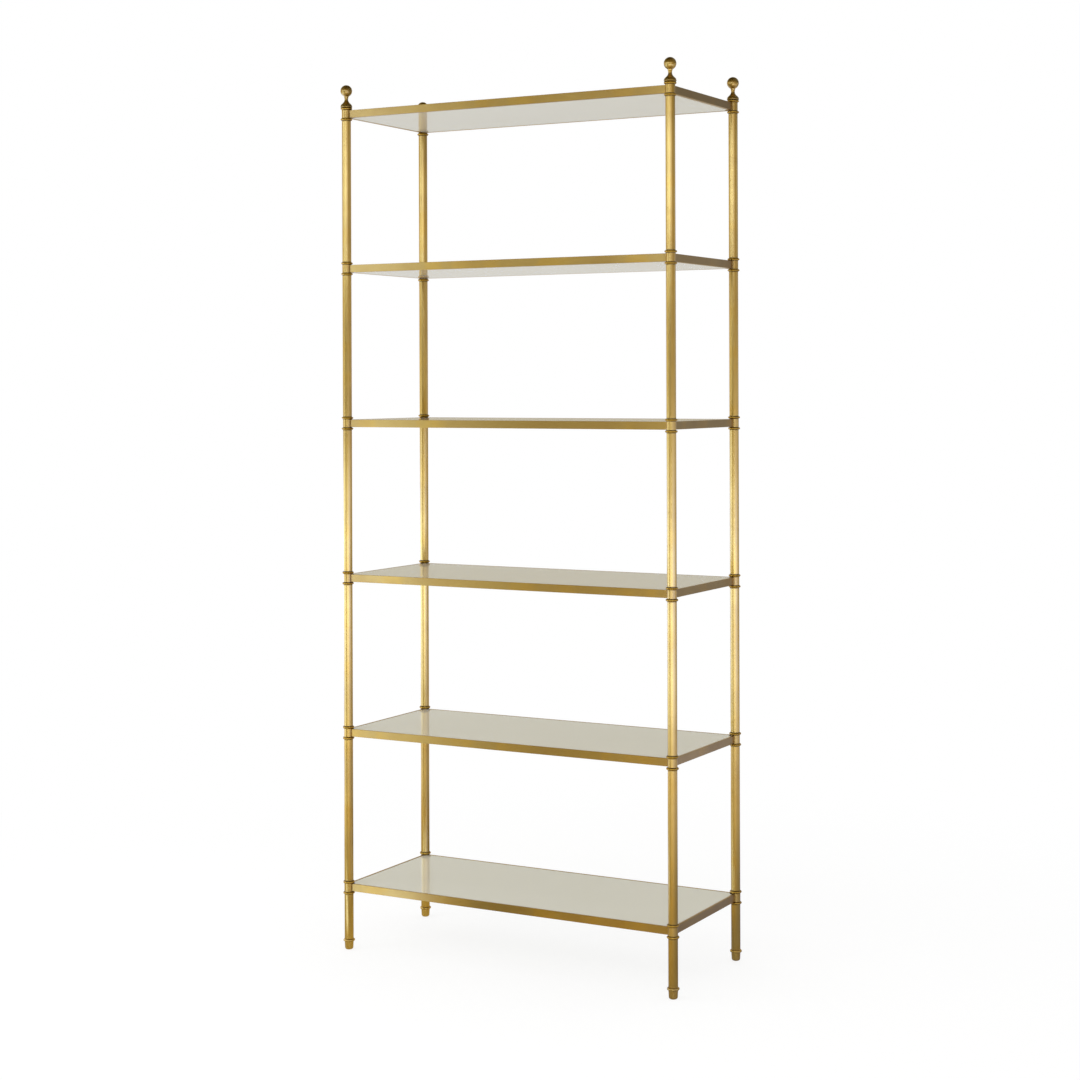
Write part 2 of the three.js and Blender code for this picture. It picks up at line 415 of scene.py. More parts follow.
# How strongly each shows
CLOUD_RISE = (0.30, 0.72)  # the film thickens between these values of the clouds
AMBER_RISE = (0.50, 0.68)
MOTTLE_IN_CLOUDS = 0.06
GRAIN_IN_FILM = 0.07
FILM_BESIDE_RING = 0.12
AMBER_SHARE = 0.35
RING_SHARE = 0.7
# share of the dark colour in the foot's seam line and in the painted shade
DIRT_AND_SHADE_SHARE = 0.60
# share of the painted shade on a hub beside a rail
RAIL_SHADE_SHARE = 0.75
FILM_ROUGHNESS = 0.08
# roughness added by the foot's seam line and the painted shade
DIRT_AND_SHADE_ROUGHNESS = 0.25
GRAIN_ROUGHNESS = 0.04
GRAIN_RELIEF = 0.0004  # in millimetres, as the others
MOTTLE_RELIEF = 0.0006
LACQUER_FILM = {"Coat Weight": 0.12, "Coat Roughness": 0.12}

# Where the tarnish film, the foot's seam line and the painted shade lie, in millimetres
SOFT_EDGE = 0.2  # from one zone to the next
SHADE_LINE = (0.2, 1.3)  # half widths of a line of painted shade, where it is full and where it ends
FOOT_DIRT_LINE = (0.2, 1.0)
SEAT_SHADE = ((-1.3, -0.2), (0.2, 3.2))  # up a tube from its ring: the painted shade rises, then fades
RING_END = (0.2, 0.6)  # past a ring's radius, where the rails begin
RING_COLOUR_RISE = 1.0  # past the hub's end
HUB_END = (0.1, 0.3)  # past the hub's radius
BESIDE_RING = 5.0  # how far the thicker film reaches along a tube
BESIDE_RING_WANDER = 4.0  # and how much the mottle shifts it
RAIL_SHADOW_DEPTH = 2.0  # inwards from the post's middle
RAIL_SHADOW_SIDE = (1.2, 3.5)  # outwards from a rail's face


def joint_shadow(finish, out, off):
    """1 on a hub close beside a rail: out is the distance along the rail, off that from its middle."""
    near, far = mm(*(RAIL_THICKNESS / 2 + side for side in RAIL_SHADOW_SIDE))
    inwards = finish.fall(out, -RAIL_SHADOW_DEPTH * MM, 0.0)
    return inwards * finish.fall(abs(off), near, far)


def aged_brass(name, body_colour, tarnish_share, grain, roughness, anisotropy, turn=0.25):
    """Old polished brass: a clouded tarnish film and fine grain; rings of tarnish with painted shade; a
    dark seam line at the foot; painted shade in the hub grooves, up the tubes where they sit on rings, and
    on the hubs beside the rails.
    """
    finish = Finish(name)
    x, y, z = finish.axes()
    across = abs(x) - POST_X
    along = abs(y) - POST_Y
    from_post = finish.maths("SQRT", across * across + along * along)
    from_shelf = finish.maths("PINGPONG", z - LOWEST_SHELF, SHELF_PITCH / 2)

    clouds = finish.noise(every_way(CLOUD_FEATURES), detail=3.0, roughness=0.55)
    mottle = finish.noise(every_way(MOTTLE_FEATURES), detail=4.0, roughness=0.6)
    amber = finish.noise(every_way(AMBER_FEATURES), offset=AMBER_OFFSET)
    lines = finish.noise(grain, detail=3.0, roughness=0.6)

    # Zones
    on_tube = finish.fall(from_post, *mm(TUBE_RADIUS, TUBE_RADIUS + SOFT_EDGE))
    off_rail = finish.fall(from_post, *mm(*(RING_RADIUS + end for end in RING_END)))
    on_ring = finish.step(from_shelf, *mm(HUB_HALF, HUB_HALF + RING_COLOUR_RISE)) * off_rail
    on_ring = on_ring * finish.fall(from_shelf, *mm(SHOULDER, SHOULDER + SOFT_EDGE))
    on_hub = finish.fall(from_shelf, *mm(HUB_HALF - SOFT_EDGE, HUB_HALF))
    on_hub = on_hub * finish.fall(from_post, *mm(*(HUB_RADIUS + end for end in HUB_END)))
    wandering = from_shelf + mottle * (BESIDE_RING_WANDER * MM)
    beside_ring = finish.fall(wandering, *mm(SHOULDER, SHOULDER + BESIDE_RING))

    film = clouds * (1 - MOTTLE_IN_CLOUDS) + mottle * MOTTLE_IN_CLOUDS
    film = finish.step(film, *CLOUD_RISE) * tarnish_share
    film = film + (lines - 0.5) * GRAIN_IN_FILM + beside_ring * on_tube * FILM_BESIDE_RING
    film = finish.maths("MINIMUM", finish.most(film, 0.0), 1.0)

    # Painted shade: a dark line in the groove between each hub and its ring
    from_groove = abs(from_shelf - (HUB_HALF + GROOVE_WIDTH / 2) * MM)
    in_groove = finish.fall(from_groove, *mm(*SHADE_LINE))
    # Painted shade up each tube from where it sits on its ring
    past_seat = from_shelf - SHOULDER * MM
    rise, fade = SEAT_SHADE
    at_seat = finish.step(past_seat, *mm(*rise)) * finish.fall(past_seat, *mm(*fade))
    # Painted shade on each hub close beside a rail
    beside_rail = finish.most(joint_shadow(finish, across, along), joint_shadow(finish, along, across))
    at_foot = finish.fall(abs(z - COLLAR_BOTTOM * MM), *mm(*FOOT_DIRT_LINE))
    # Painted shade in grooves and at seats within the rings, then painted shade beside the rails and the
    # foot's seam line
    dirt_and_shade = finish.most(in_groove, at_seat) * off_rail
    dirt_and_shade = finish.most(dirt_and_shade, beside_rail * on_hub * RAIL_SHADE_SHARE, at_foot)

    colour = finish.blend(finish.step(amber, *AMBER_RISE) * AMBER_SHARE, body_colour, AMBER_TARNISH)
    colour = finish.blend(film, colour, BROWN_TARNISH)
    # Rings: tarnish, with painted shade for their darker look
    colour = finish.blend(on_ring * RING_SHARE, colour, RING_TARNISH_AND_SHADE)
    # The foot's seam line and the painted shade take the dark colour
    colour = finish.blend(dirt_and_shade * DIRT_AND_SHADE_SHARE, colour, DIRT_AND_SHADE)
    gloss = roughness + film * FILM_ROUGHNESS + dirt_and_shade * DIRT_AND_SHADE_ROUGHNESS + (lines - 0.5) * GRAIN_ROUGHNESS
    relief = finish.bump(lines, GRAIN_RELIEF * MM)
    relief = finish.bump(mottle, MOTTLE_RELIEF * MM, relief)
    return finish.surface(
        {
            "Base Color": colour,
            "Metallic": 1.0,
            "Roughness": gloss,
            "Anisotropic": anisotropy,
            "Anisotropic Rotation": turn,
            "Normal": relief,
            **LACQUER_FILM,
        }
    )


# Lacquer and steel

LACQUER = (0.705, 0.690, 0.605, 1)
LACQUER_CLOUD = (0.650, 0.645, 0.560, 1)
LACQUER_SPECKLE = (0.58, 0.56, 0.47, 1)
SPECKLE_SHARE = 0.25
LACQUER_ROUGHNESS = (0.30, 0.08)  # the least, and what the swirl adds
PEEL_RELIEF = 0.0025
DARK_STEEL = (0.30, 0.31, 0.32, 1)
BRIGHT_STEEL = (0.46, 0.46, 0.47, 1)
STEEL_ROUGHNESS = (0.32, 0.15)  # the least, and what the smears add
THREAD_RELIEF = 0.6

# Their patterns, in features per metre
LACQUER_CLOUD_FEATURES = 5.0
SPECKLE_FEATURES = 160.0
PEEL_FEATURES = 140.0
SWIRL_FEATURES = 900.0
SMEAR_FEATURES = 300.0


def pale_lacquer():
    """A thick, pale, polished lacquer with a faint orange peel."""
    finish = Finish("pale_lacquer")
    clouds = finish.noise(every_way(LACQUER_CLOUD_FEATURES), detail=3.0)
    speckle = finish.noise(every_way(SPECKLE_FEATURES), detail=3.0, roughness=0.55)
    peel = finish.noise(every_way(PEEL_FEATURES), detail=1.0, roughness=0.4)
    swirl = finish.noise(every_way(SWIRL_FEATURES), roughness=0.6)
    colour = finish.blend(clouds, LACQUER, LACQUER_CLOUD)
    least, added = LACQUER_ROUGHNESS
    return finish.surface(
        {
            "Base Color": finish.blend(speckle * SPECKLE_SHARE, colour, LACQUER_SPECKLE),
            "Roughness": least + swirl * added,
            "Coat Weight": 1.0,
            "Coat Roughness": 0.03,
            "Normal": finish.bump(peel, PEEL_RELIEF * MM),
        }
    )


def threaded_steel():
    """Plain steel rod with its thread as relief."""
    finish = Finish("threaded_steel")
    x, y, z = finish.axes()
    around = finish.maths("ARCTAN2", abs(y) - POST_Y, abs(x) - POST_X) * (1 / (2 * math.pi))
    turns = z * (1 / (THREAD_PITCH * MM)) - around
    ridge = finish.maths("PINGPONG", turns, 0.5)
    smear = finish.noise(every_way(SMEAR_FEATURES), detail=3.0, roughness=0.6)
    least, added = STEEL_ROUGHNESS
    return finish.surface(
        {
            "Base Color": finish.blend(smear, DARK_STEEL, BRIGHT_STEEL),
            "Metallic": 1.0,
            "Roughness": least + smear * added,
            "Normal": finish.bump(ridge, THREAD_RELIEF * MM),
        }
    )


# The finishes of this piece. Each brass has its colour, share of tarnish, grain, roughness and anisotropy.

drawn_grain = (GRAIN_FINE, GRAIN_FINE, GRAIN_LONG)
turned_grain = (GRAIN_ROUND, GRAIN_ROUND, GRAIN_FINE)
width_grain = (GRAIN_LONG, GRAIN_FINE, GRAIN_FINE)
depth_grain = (GRAIN_FINE, GRAIN_LONG, GRAIN_FINE)
tube_brass = aged_brass("drawn_tube_brass", POLISHED_BRASS, 0.40, drawn_grain, SMOOTH_BRASS, 0.55, turn=0.0)
turned_brass = aged_brass("turned_brass", WARM_BRASS, 0.35, turned_grain, SMOOTH_BRASS, 0.7)
finial_brass = aged_brass("finial_brass", FINIAL_BRASS, 0.55, turned_grain, SMOOTH_BRASS, 0.2)
width_rail_brass = aged_brass("width_rail_brass", RAIL_BRASS, 0.60, width_grain, WORN_BRASS, 0.5)
depth_rail_brass = aged_brass("depth_rail_brass", RAIL_BRASS, 0.60, depth_grain, WORN_BRASS, 0.5)
panel_lacquer = pale_lacquer()
rod_steel = threaded_steel()

FRAME_FINISHES = [turned_brass, width_rail_brass, depth_rail_brass]


# Turned profiles


def bead(bottom, top, projection):
    centre = (HUB_RADIUS, (bottom + top) / 2)
    return arc(centre, (projection, (top - bottom) / 2), -90, 90)


def groove(bottom, top):
    """A small quirk beside a bead, cut inwards."""
    centre = (HUB_RADIUS, (bottom + top) / 2)
    return arc(centre, (GROOVE_DEPTH, (top - bottom) / 2), -90, -270, GROOVE_STEPS)


def hub_profile(has_upper_spigot):
    projection = RING_RADIUS - HUB_RADIUS
    spigot_end = SHOULDER + SPIGOT_LENGTH
    points = [
        (ROD_BORE, -spigot_end),
        (SPIGOT_RADIUS - SPIGOT_CHAMFER, -spigot_end),
        (SPIGOT_RADIUS, -spigot_end + SPIGOT_CHAMFER),
        (SPIGOT_RADIUS, -SHOULDER),
    ]
    points += bead(-SHOULDER, -HUB_HALF - GROOVE_WIDTH, projection)
    points += groove(-HUB_HALF - GROOVE_WIDTH, -HUB_HALF)
    points += groove(HUB_HALF, HUB_HALF + GROOVE_WIDTH)
    points += bead(HUB_HALF + GROOVE_WIDTH, SHOULDER, projection)
    if has_upper_spigot:
        points += [
            (SPIGOT_RADIUS, SHOULDER),
            (SPIGOT_RADIUS, spigot_end - SPIGOT_CHAMFER),
            (SPIGOT_RADIUS - SPIGOT_CHAMFER, spigot_end),
            (ROD_BORE, spigot_end),
        ]
    else:
        points.append((ROD_BORE, SHOULDER))
    return points


def tube_profile(bottom, top):
    rounding = (TUBE_END_ROUND, TUBE_END_ROUND)
    edge = TUBE_RADIUS - TUBE_END_ROUND
    points = [(TUBE_BORE, bottom)]
    points += arc((edge, bottom + TUBE_END_ROUND), rounding, -90, 0, SMALL_ARC_STEPS)
    points += arc((edge, top - TUBE_END_ROUND), rounding, 0, 90, SMALL_ARC_STEPS)
    points.append((TUBE_BORE, top))
    return points


def collar_profile():
    shoulder = COLLAR_BOTTOM + RING_HEIGHT
    points = [(ROD_BORE, COLLAR_BOTTOM)]
    points += bead(COLLAR_BOTTOM, shoulder, RING_RADIUS - HUB_RADIUS)
    points += [
        (SPIGOT_RADIUS, shoulder),
        (SPIGOT_RADIUS, COLLAR_PLUG_TOP - SPIGOT_CHAMFER),
        (SPIGOT_RADIUS - SPIGOT_CHAMFER, COLLAR_PLUG_TOP),
        (ROD_BORE, COLLAR_PLUG_TOP),
    ]
    return points


def cup_profile():
    top_centre = (TUBE_RADIUS - CUP_TOP_ROUND, CUP_HEIGHT - CUP_TOP_ROUND)
    points = [(0, 0)]
    points += arc((CUP_EDGE_CENTRE, CUP_EDGE_RADIUS), (CUP_EDGE_RADIUS, CUP_EDGE_RADIUS), -90, 0)
    points += arc(top_centre, (CUP_TOP_ROUND, CUP_TOP_ROUND), 0, 90, SMALL_ARC_STEPS)
    points.append((0, CUP_HEIGHT))
    return points


def bell_profile():
    """The bell's double curve, from its base up to the neck."""
    bottom = FINIAL_BASE_HEIGHT
    top = bottom + BELL_HEIGHT
    low_handle, high_handle = (bottom + BELL_HEIGHT * share for share in BELL_HANDLE_SHARES)
    points = []
    for step in range(BELL_STEPS + 1):
        t = step / BELL_STEPS
        weights = ((1 - t) ** 3, 3 * t * (1 - t) ** 2, 3 * t**2 * (1 - t), t**3)
        radii = (BELL_RADIUS, BELL_RADIUS, NECK_RADIUS, NECK_RADIUS)
        heights = (bottom, low_handle, high_handle, top)
        radius = sum(weight * value for weight, value in zip(weights, radii))
        height = sum(weight * value for weight, value in zip(weights, heights))
        points.append((radius, height))
    return points


def neck_profile():
    """The neck spreads in a hollow curve towards the ball."""
    bottom = FINIAL_BASE_HEIGHT + BELL_HEIGHT
    points = []
    for step in range(1, NECK_STEPS):
        share = step / NECK_STEPS
        spread = (NECK_FLARE_RADIUS - NECK_RADIUS) * share**NECK_FLARE_POWER
        points.append((NECK_RADIUS + spread, bottom + NECK_LENGTH * share))
    return points


def finial_profile():
    neck_top = FINIAL_BASE_HEIGHT + BELL_HEIGHT + NECK_LENGTH
    start = math.degrees(math.asin(NECK_FLARE_RADIUS / BALL_RADIUS))
    centre = neck_top + BALL_RADIUS * math.cos(math.radians(start))
    points = [(0, FINIAL_BORE_DEPTH), (ROD_BORE, FINIAL_BORE_DEPTH), (ROD_BORE, 0)]
    points += bead(0, FINIAL_BASE_HEIGHT, FINIAL_BASE_RADIUS - HUB_RADIUS)
    points += bell_profile()
    points += neck_profile()
    points += arc((0, centre), (BALL_RADIUS, BALL_RADIUS), start - 90, 90, BALL_STEPS)
    return points


# Rails and frames


def angle_bar(length):
    """A bar along X with its lip towards +Y, rounded edges, and ends that swell to a braze fillet."""
    half = RAIL_THICKNESS / 2 * MM
    lip_end = half + LIP_WIDTH * MM
    bottom = -RAIL_HEIGHT / 2 * MM
    lip_top = bottom + LIP_THICKNESS * MM
    section = [
        (-half, bottom),
        (lip_end, bottom),
        (lip_end, lip_top),
        (half, lip_top),
        (half, -bottom),
        (-half, -bottom),
    ]
    hub = length / 2 - HUB_RADIUS * MM
    ends = [hub - distance * MM for distance in BRAZE_STATIONS]
    stations = [-length / 2 + RAIL_ROOT * MM] + [-end for end in ends]
    stations += ends[::-1] + [length / 2 - RAIL_ROOT * MM]

    mesh = bmesh.new()
    corners = [mesh.verts.new((stations[0], y, z)) for y, z in section]
    mesh.faces.new(corners)
    bmesh.ops.bevel(
        mesh,
        geom=corners,
        offset=RAIL_ROUND * MM,
        affect="VERTICES",
        segments=RAIL_ROUND_SEGMENTS,
        profile=0.5,
        material=-1,
        clamp_overlap=True,
    )
    face = max(mesh.faces, key=lambda each: len(each.verts))
    for before, after in zip(stations, stations[1:]):
        grown = bmesh.ops.extrude_face_region(mesh, geom=[face])["geom"]
        if before > stations[0]:
            mesh.faces.remove(face)  # only the first face stays, as the bar's end
        face = next(each for each in grown if isinstance(each, bmesh.types.BMFace))
        bmesh.ops.translate(mesh, verts=face.verts, vec=(after - before, 0, 0))
    tidied(mesh)
    swell_ends(mesh, hub, half)
    return mesh


def swell_ends(mesh, hub, half):
    """Moves the upright's skin outwards near the hub, so that it meets the hub in a hollow fillet."""
    radius = BRAZE_RADIUS * MM
    outwards = {}
    for vert in mesh.verts:
        distance = max(hub - abs(vert.co.x), 0)
        if distance < radius and vert.co.y < half + TINY:
            flat = Vector((0, vert.normal.y, vert.normal.z)).normalized()
            outwards[vert] = flat * (radius - math.sqrt(radius**2 - (radius - distance) ** 2))
    for vert, offset in outwards.items():
        vert.co += offset


def shelf_frame(has_upper_spigot):
    """Four angle bars brazed to four hubs, about the middle of the shelf."""
    parts = []
    for corner in CORNERS:
        post = middle(f"leg_tube_{corner}")
        hub = turned(hub_profile(has_upper_spigot), closed=True)
        parts.append((moved(hub, (post.x, post.y, 0)), 0))
    width, depth = 2 * POST_X, 2 * POST_Y
    parts.append((moved(angle_bar(width), (0, -POST_Y, 0)), 1))
    parts.append((moved(rotated(angle_bar(width), 180), (0, POST_Y, 0)), 1))
    parts.append((moved(rotated(angle_bar(depth), -90), (-POST_X, 0, 0)), 2))
    parts.append((moved(rotated(angle_bar(depth), 90), (POST_X, 0, 0)), 2))
    return united(parts, FRAME_FINISHES)


def board_rim(mesh, inset, height):
    """A loop of edges round a board with a round notch at each corner, held back from the rails."""
    notch = RING_RADIUS + inset
    edge = math.degrees(math.asin((RAIL_THICKNESS / 2 + inset) / notch))
    verts = []
    for quarter, corner in enumerate(("front_left", "front_right", "back_right", "back_left")):
        post = middle(f"leg_tube_{corner}") / MM
        start = 90 * (quarter + 1) - edge
        end = 90 * quarter + edge
        for x, y in arc((post.x, post.y), (notch, notch), start, end, NOTCH_STEPS):
            verts.append(mesh.verts.new((x * MM, y * MM, height)))
    return [mesh.edges.new(pair) for pair in zip(verts, verts[1:] + verts[:1])]


def panel(bottom, top):
    """A board with eased edges, rebated below so that it fills in between the lips."""
    seat = top - PANEL_THICKNESS * MM
    field = PANEL_GAP + LIP_WIDTH
    mesh = bmesh.new()
    places = ((field, bottom), (field, seat), (PANEL_GAP, seat), (PANEL_GAP, top))
    rims = [board_rim(mesh, inset, height) for inset, height in places]
    for lower, upper in zip(rims, rims[1:]):
        bmesh.ops.bridge_loops(mesh, edges=lower + upper)
    for rim in (rims[0], rims[-1]):
        bmesh.ops.contextual_create(mesh, geom=rim)
    bmesh.ops.recalc_face_normals(mesh, faces=mesh.faces)
    bmesh.ops.bevel(
        mesh,
        geom=rims[0] + rims[-1],
        offset=PANEL_ROUND * MM,
        affect="EDGES",
        segments=PANEL_ROUND_SEGMENTS,
        profile=0.5,
        material=-1,
    )
    return mesh


def levelling_foot():
    """The turned cup and its threaded stud."""
    teeth = math.ceil(STUD_LENGTH / THREAD_PITCH) + SPARE_TEETH + 1
    low = CUP_HEIGHT - SPARE_TEETH * THREAD_PITCH
    points = []
    for tooth in range(teeth):
        points.append((THREAD_ROOT, low + tooth * THREAD_PITCH))
        points.append((THREAD_RADIUS, low + (tooth + 0.5) * THREAD_PITCH))
    stud = spun(points, THREAD_SEGMENTS, dvec=(0, 0, THREAD_PITCH * MM / THREAD_SEGMENTS))
    bmesh.ops.remove_doubles(stud, verts=stud.verts, dist=TINY)
    trims = ((CUP_HEIGHT - STUD_SINK, -1), (CUP_HEIGHT + STUD_LENGTH, 1))
    for height, side in trims:
        bmesh.ops.bisect_plane(
            stud,
            geom=stud.verts[:] + stud.edges[:] + stud.faces[:],
            plane_co=(0, 0, height * MM),
            plane_no=(0, 0, side),
            clear_outer=True,
        )
    bmesh.ops.holes_fill(stud, edges=[each for each in stud.edges if each.is_boundary])
    return united([(turned(cup_profile()), 0), (tidied(stud), 0)], [turned_brass])


# Assembly


def add_shelves():
    middle_shape = shelf_frame(has_upper_spigot=True)
    top_shape = shelf_frame(has_upper_spigot=False)
    for shelf in range(1, SHELF_COUNT + 1):
        node = f"shelf_frame_{shelf}"
        height = underside(node) + (SHOULDER + SPIGOT_LENGTH) * MM
        shape = middle_shape if shelf < SHELF_COUNT else top_shape
        mesh = moved(shape.copy(), (0, 0, height))
        add_piece(mesh, f"brass_frame_{shelf}", FRAME_FINISHES, "stand", [node])
        node = f"shelf_panel_{shelf}"
        low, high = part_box(node)
        mesh = panel(low.z, high.z)
        add_piece(mesh, f"lacquered_panel_{shelf}", [panel_lacquer], "stand", [node])
    middle_shape.free()
    top_shape.free()


def add_turning(node, name, profile, finish, closed=False, lift=0.0):
    """A turned piece of a post, in place of its CAD node."""
    post = middle(node)
    mesh = moved(turned(profile, closed), (post.x, post.y, lift))
    add_piece(mesh, name, [finish], "stand", [node])


def add_post(corner):
    sections = [(f"leg_tube_{corner}", f"leg_{corner}")]
    for shelf in range(1, SHELF_COUNT):
        sections.append((f"post_tube_{shelf}_{corner}", f"post_section_{shelf}_{corner}"))
    for node, name in sections:
        low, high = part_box(node)
        add_turning(node, name, tube_profile(low.z / MM, high.z / MM), tube_brass, closed=True)

    add_turning(f"foot_collar_{corner}", f"collar_{corner}", collar_profile(), turned_brass, closed=True)
    node = f"finial_{corner}"
    add_turning(node, f"ball_finial_{corner}", finial_profile(), finial_brass, lift=underside(node))

    node = f"levelling_foot_{corner}"
    post = middle(node)
    foot = moved(levelling_foot(), (post.x, post.y, underside(node)))
    add_piece(foot, f"screw_foot_{corner}", [turned_brass], f"foot_{corner}", [node])

    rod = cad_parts[f"tie_rod_{corner}"]
    rod.data.materials.clear()
    rod.data.materials.append(rod_steel)


add_shelves()
for corner in CORNERS:
    add_post(corner)


# Camera, at the photograph's place

CAMERA_PLACE = Vector((2.4443, -4.4080, 1.3952))
CAMERA_YAW = math.radians(28.646)
CAMERA_ROLL = math.radians(-0.198)
SENSOR_WIDTH = 36.0
LENS = 68.71
SHIFT = (-0.01065, -0.14463)

TO_CAMERA = Vector((math.sin(CAMERA_YAW), -math.cos(CAMERA_YAW), 0))
CAMERA_RIGHT = Vector((math.cos(CAMERA_YAW), math.sin(CAMERA_YAW), 0))
UP = Vector((0, 0, 1))


def add_camera():
    data = bpy.data.cameras.new("camera")
    data.sensor_width = SENSOR_WIDTH
    data.lens = LENS
    data.shift_x, data.shift_y = SHIFT
    camera = bpy.data.objects.new("camera", data)
    right = CAMERA_RIGHT * math.cos(CAMERA_ROLL) + UP * math.sin(CAMERA_ROLL)
    up = UP * math.cos(CAMERA_ROLL) - CAMERA_RIGHT * math.sin(CAMERA_ROLL)
    turn = Matrix((right, up, TO_CAMERA)).transposed().to_4x4()
    camera.matrix_world = Matrix.Translation(CAMERA_PLACE) @ turn
    bpy.context.scene.collection.objects.link(camera)
    bpy.context.scene.camera = camera


# Studio: a white surround and floor, softboxes, and a tent of lamps and walls that only reflections see

WORLD_LEVEL = 0.84
FLOOR_SIZE = 16.0
FLOOR_COLOUR = (0.86, 0.86, 0.855, 1)
FLOOR_LIT = 0.80  # how bright the lit floor is, where 1 is the white surround
FLOOR_FADE = (0.9, 2.4)  # the floor turns into the white surround between these distances
FLOOR_NEAR_SHARE = 0.78  # how much of the near floor is the white surround
FLOOR_DROP = 0.0004  # how far it lies under the feet

TENT_RADIUS = 3.0
TENT_HEIGHT = 3.4
TENT_SEGMENTS = 96
WALL_FOOT = (0.001, 0.002)  # the floor turns into the wall between these heights
WALL_LEVEL = 0.19
ROOF_LEVELS = (0.10, 0.30)  # above the object, and further out
ROOF_SPREAD = (0.5, 1.5)  # the roof brightens between these distances
ROOF_FADE = (2.6, 3.4)  # the walls turn into the roof between these heights
NEAR_FLOOR_LEVEL = 0.76
FAR_FLOOR_LEVEL = 2.00
FAR_FLOOR_EDGE = (1.1, 3.0)
DIM_FLOOR = (0.48, (-70, 30))  # how dim the floor is on the right, and the angles it fades over
WARM_WALL = (1.0, 0.88, 0.56, 1)
WARM_FLOOR = (1.0, 0.88, 0.66, 1)
COOL_LAMP = (0.87, 1.11, 2.60, 1)
COOL_LEVELS = (0.7, 2.6)  # light turns from warm to cool between these levels
BEHIND_TINT = (1.0, 0.92, 0.55, 1)
RIGHT_TINT = (1.0, 1.27, 2.75, 1)
FRONT_TINT = (1.0, 0.98, 0.76, 1)
LEFT_TINT = (1.0, 1.07, 0.94, 1)
TINT_FADES = ((-142, -130), (-125, 15), (30, 50))  # the angles between the tints, in turn

# The wall behind the object has colours of its own, from its foot up
BACK_EDGE = (156, 162)
BACK_COLOURS = ((0.64, 0.61, 0.51, 1), (0.52, 0.47, 0.36, 1), (0.72, 0.70, 0.65, 1))
BACK_FADES = ((0.90, 1.36), (1.38, 1.50))  # the heights between them

# Each patch of wall or lamp has its level and its right, left, bottom and top edge. An edge is a place and
# the width it fades over: degrees left of the camera as it looks, or metres up.
WALLS = {
    "left_wall": (0.87, (65, 6), (138, 12), None, None),
    "right_wall": (0.22, (-150, 12), (-7.5, 8), None, (2.4, 0.3)),
    "right_front_wall": (0.24, (-100, 14), (-7.5, 8), None, (2.4, 0.3)),
    "middle_band": (0.28, (-88, 30), (150, 20), (1.12, 0.1), (1.34, 0.1)),
    "upper_wall": (0.55, (-60, 60), (80, 20), (2.45, 0.2), None),
}
LAMPS = {
    "lower_left_softbox": (1.3, (62.5, 10), (82, 12), (0.03, 0.5), (1.36, 0.4)),
    "upper_left_softbox": (2.5, (62.5, 10), (82, 12), (1.75, 0.3), (2.5, 0.3)),
    "slot": (1.0, (38, 10), (46, 10), (1.0, 0.4), None),
    "high_softbox": (4.2, (-7, 100), (61.5, 10), (1.87, 0.12), (2.42, 0.2)),
    "low_band": (1.55, (-70, 45), (150, 20), (0.18, 0.5), (1.06, 0.3)),
    "low_softbox": (2.5, (-15, 62), (30, 43), (0.13, 0.4), (0.90, 0.12)),
    "right_strip": (0.45, (-106, 10), (-83, 8), None, (2.4, 0.3)),
    "back_left_strip": (1.2, (138, 16), (156, 8), None, None),
    "back_right_strip": (1.0, (-156, 8), (-138, 16), None, None),
}
FLOOR_GLOW = (2.2, (65, 12), (84, 8))  # light from the left on the near floor
FLOOR_GLOW_RING = (0.50, 0.70, 1.06, 1.20)  # it rises and fades between these distances
GAP = ((44, 10), (62.5, 10), 0.36)  # the dark gap beside the left softbox, and what it lets through

# The lights on the object: degrees left of the camera, distance, height, width, tallness and level
SOFTBOXES = {
    "left_softbox": (74, 2.8, 1.45, 1.2, 2.7, 2.0),
    "high_softbox": (25, 3.2, 2.6, 3.0, 0.9, 2.5),
    "low_softbox": (0, 3.4, 0.55, 2.2, 0.9, 2.0),
}


def add_surround():
    world = bpy.data.worlds.new("surround")
    bpy.context.scene.world = world
    world.use_nodes = True
    nodes = Nodes(world.node_tree)
    white = (1, 1, 1, 1)
    soft = nodes.node("ShaderNodeBackground", {}, {"Color": white, "Strength": WORLD_LEVEL})
    bright = nodes.node("ShaderNodeBackground", {}, {"Color": white, "Strength": 1.0})
    surround = nodes.mixed(nodes.seen_directly(), soft, bright)
    nodes.node("ShaderNodeOutputWorld", {}, {"Surface": surround})


def add_floor():
    """The floor is lit as any surface, and seen as white with a soft shadow."""
    mesh = bmesh.new()
    bmesh.ops.create_grid(mesh, x_segments=1, y_segments=1, size=FLOOR_SIZE / 2)
    moved(mesh, (0, 0, -FLOOR_DROP))
    finish = Finish("pale_floor")
    x, y = finish.axes()[:2]
    distance = finish.maths("SQRT", x * x + y * y)
    share = FLOOR_NEAR_SHARE + finish.step(distance, *FLOOR_FADE) * (1 - FLOOR_NEAR_SHARE)
    level = (share * FLOOR_LIT + (1 - FLOOR_LIT)) / share
    pale = finish.node("ShaderNodeBsdfDiffuse", {}, {"Color": FLOOR_COLOUR})
    white = finish.node("ShaderNodeEmission", {}, {"Color": (1, 1, 1, 1), "Strength": level})
    finish.show(finish.mixed(share * finish.seen_directly(), pale, white))
    as_object(mesh, "floor", [finish.material])


def window(finish, values, edges):
    """1 inside soft edges, 0 outside. The edges are a low and a high one for each value in turn."""
    share = 1
    for value, edge, side in zip(values, edges, (1, -1, 1, -1)):
        if edge:
            place, blur = edge
            rise = finish.step(value * side, place * side - blur / 2, place * side + blur / 2)
            share = rise * share
    return share


